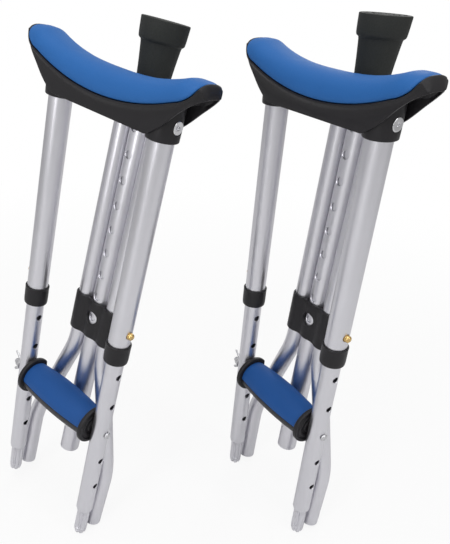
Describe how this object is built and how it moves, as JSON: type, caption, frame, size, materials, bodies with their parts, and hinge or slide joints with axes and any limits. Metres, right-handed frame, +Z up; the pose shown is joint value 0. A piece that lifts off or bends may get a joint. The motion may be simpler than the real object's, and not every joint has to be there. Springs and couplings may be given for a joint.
{
  "type": "folding underarm crutch pair",
  "caption": "Pair of folding aluminium underarm crutches, folded upright, with padded saddles, bolted hand grips, snap-button tubes and rubber tips.",
  "frame": {"origin": "middle of the pair's bounding box, on the floor that the tube ends stand on", "axes": "+Z up, +X roughly from each crutch's rear upright to its front one, +Y from the grip side to the folded lower half"},
  "size_m": [0.3352, 0.3142, 0.5531],
  "materials": {
    "black_plastic": "moulded, light sheen",
    "satin_aluminium": "satin, drawn tube",
    "zinc": "zinc plated",
    "spring_steel": "plain spring steel",
    "chrome": "bright plated",
    "brass": "bright",
    "blue_grip": "soft foam sleeve",
    "black_rubber": "matt moulded rubber",
    "blue_pad": "soft foam with a smooth skin"
  },
  "bodies": {
    "left_upper_frame": {"left_saddle_shell": "black_plastic", "left_underarm_pad": "blue_pad", "left_front_saddle_screw": "chrome", "left_front_upper_tube": "satin_aluminium", "left_front_collar": "black_plastic", "left_rear_saddle_screw": "chrome", "left_rear_upper_tube": "satin_aluminium", "left_rear_collar": "black_plastic"},
    "left_mid_frame": {"left_grip_core": "black_plastic", "left_grip_sleeve": "blue_grip", "left_grip_bolt": "zinc", "left_grip_washer": "zinc", "left_front_lower_tube": "satin_aluminium", "left_front_button_spring": "spring_steel", "left_rear_lower_tube": "satin_aluminium", "left_rear_button_spring": "spring_steel"},
    "left_front_button": {"left_front_snap_button": "brass"},
    "left_rear_button": {"left_rear_snap_button": "brass"},
    "left_wing_nut_body": {"left_wing_nut": "zinc"},
    "left_lower_frame": {"left_centre_tube": "satin_aluminium", "left_bow_bracket": "black_plastic", "left_front_bow_tube": "satin_aluminium", "left_front_bracket_rivet": "zinc", "left_rear_bow_tube": "satin_aluminium", "left_rear_bracket_rivet": "zinc"},
    "left_leg": {"left_leg_tube": "satin_aluminium", "left_leg_button_spring": "spring_steel", "left_rubber_tip": "black_rubber", "left_tip_washer": "zinc"},
    "left_leg_button": {"left_leg_snap_button": "chrome"},
    "right_upper_frame": {"right_saddle_shell": "black_plastic", "right_underarm_pad": "blue_pad", "right_front_saddle_screw": "chrome", "right_front_upper_tube": "satin_aluminium", "right_front_collar": "black_plastic", "right_rear_saddle_screw": "chrome", "right_rear_upper_tube": "satin_aluminium", "right_rear_collar": "black_plastic"},
    "right_mid_frame": {"right_grip_core": "black_plastic", "right_grip_sleeve": "blue_grip", "right_grip_bolt": "zinc", "right_grip_washer": "zinc", "right_front_lower_tube": "satin_aluminium", "right_front_button_spring": "spring_steel", "right_rear_lower_tube": "satin_aluminium", "right_rear_button_spring": "spring_steel"},
    "right_front_button": {"right_front_snap_button": "brass"},
    "right_rear_button": {"right_rear_snap_button": "brass"},
    "right_wing_nut_body": {"right_wing_nut": "zinc"},
    "right_lower_frame": {"right_centre_tube": "satin_aluminium", "right_bow_bracket": "black_plastic", "right_front_bow_tube": "satin_aluminium", "right_front_bracket_rivet": "zinc", "right_rear_bow_tube": "satin_aluminium", "right_rear_bracket_rivet": "zinc"},
    "right_leg": {"right_leg_tube": "satin_aluminium", "right_leg_button_spring": "spring_steel", "right_rubber_tip": "black_rubber", "right_tip_washer": "zinc"},
    "right_leg_button": {"right_leg_snap_button": "chrome"}
  },
  "joints": [
    {"name": "carry_apart", "type": "slide", "parent": "left_upper_frame", "child": "right_upper_frame", "axis": [0.5736, 0.8192, 0], "range_m": [0, 0.15]},
    {"name": "left_frame_slide", "type": "slide", "parent": "left_upper_frame", "child": "left_mid_frame", "axis": [-0.0896, -0.1685, -0.9816], "range_m": [0, 0.0382], "deforming": ["left_front_snap_button", "left_front_button_spring", "left_rear_snap_button", "left_rear_button_spring"]},
    {"name": "left_front_button_press", "type": "slide", "parent": "left_mid_frame", "child": "left_front_button", "axis": [-0.982, -0.1496, 0.1153], "range_m": [0, 0.004], "stiffness_N_per_m": 1000, "springref_m": -0.002, "deforming": ["left_front_button_spring"]},
    {"name": "left_rear_button_press", "type": "slide", "parent": "left_mid_frame", "child": "left_rear_button", "axis": [0.982, 0.1496, -0.1153], "range_m": [0, 0.004], "stiffness_N_per_m": 1000, "springref_m": -0.002, "deforming": ["left_rear_button_spring"]},
    {"name": "left_wing_nut_spin", "type": "hinge", "parent": "left_mid_frame", "child": "left_wing_nut_body", "pos_m": [-0.15232, -0.12557, 0.17176], "axis": [0.982, 0.1496, -0.1153], "continuous": true},
    {"name": "left_lower_frame_fold", "type": "hinge", "parent": "left_upper_frame", "child": "left_lower_frame", "pos_m": [-0.09497, -0.1313, 0.00814], "axis": [0.982, 0.1496, -0.1153], "range_deg": [-176.93, 0]},
    {"name": "left_leg_slide", "type": "slide", "parent": "left_lower_frame", "child": "left_leg", "axis": [0.0805, 0.2204, 0.9721], "range_m": [0, 0.3488], "deforming": ["left_leg_snap_button", "left_leg_button_spring"]},
    {"name": "left_leg_button_press", "type": "slide", "parent": "left_leg", "child": "left_leg_button", "axis": [-0.1708, 0.9639, -0.2044], "range_m": [0, 0.004], "stiffness_N_per_m": 1000, "springref_m": -0.002, "deforming": ["left_leg_button_spring"]},
    {"name": "right_frame_slide", "type": "slide", "parent": "right_upper_frame", "child": "right_mid_frame", "axis": [0, 0, -1], "range_m": [0, 0.0382], "deforming": ["right_front_snap_button", "right_front_button_spring", "right_rear_snap_button", "right_rear_button_spring"]},
    {"name": "right_front_button_press", "type": "slide", "parent": "right_mid_frame", "child": "right_front_button", "axis": [-0.9872, 0.1594, 0], "range_m": [0, 0.004], "stiffness_N_per_m": 1000, "springref_m": -0.002, "deforming": ["right_front_button_spring"]},
    {"name": "right_rear_button_press", "type": "slide", "parent": "right_mid_frame", "child": "right_rear_button", "axis": [0.9872, -0.1594, 0], "range_m": [0, 0.004], "stiffness_N_per_m": 1000, "springref_m": -0.002, "deforming": ["right_rear_button_spring"]},
    {"name": "right_wing_nut_spin", "type": "hinge", "parent": "right_mid_frame", "child": "right_wing_nut_body", "pos_m": [-0.00878, 0.09653, 0.158], "axis": [0.9872, -0.1594, 0], "continuous": true},
    {"name": "right_lower_frame_fold", "type": "hinge", "parent": "right_upper_frame", "child": "right_lower_frame", "pos_m": [0.06615, 0.09433, 0.00156], "axis": [0.9872, -0.1594, 0], "range_deg": [-176.93, 0]},
    {"name": "right_leg_slide", "type": "slide", "parent": "right_lower_frame", "child": "right_leg", "axis": [0.0085, 0.0529, 0.9986], "range_m": [0, 0.3488], "deforming": ["right_leg_snap_button", "right_leg_button_spring"]},
    {"name": "right_leg_button_press", "type": "slide", "parent": "right_leg", "child": "right_leg_button", "axis": [0.1591, 0.9858, -0.0536], "range_m": [0, 0.004], "stiffness_N_per_m": 1000, "springref_m": -0.002, "deforming": ["right_leg_button_spring"]}
  ]
}
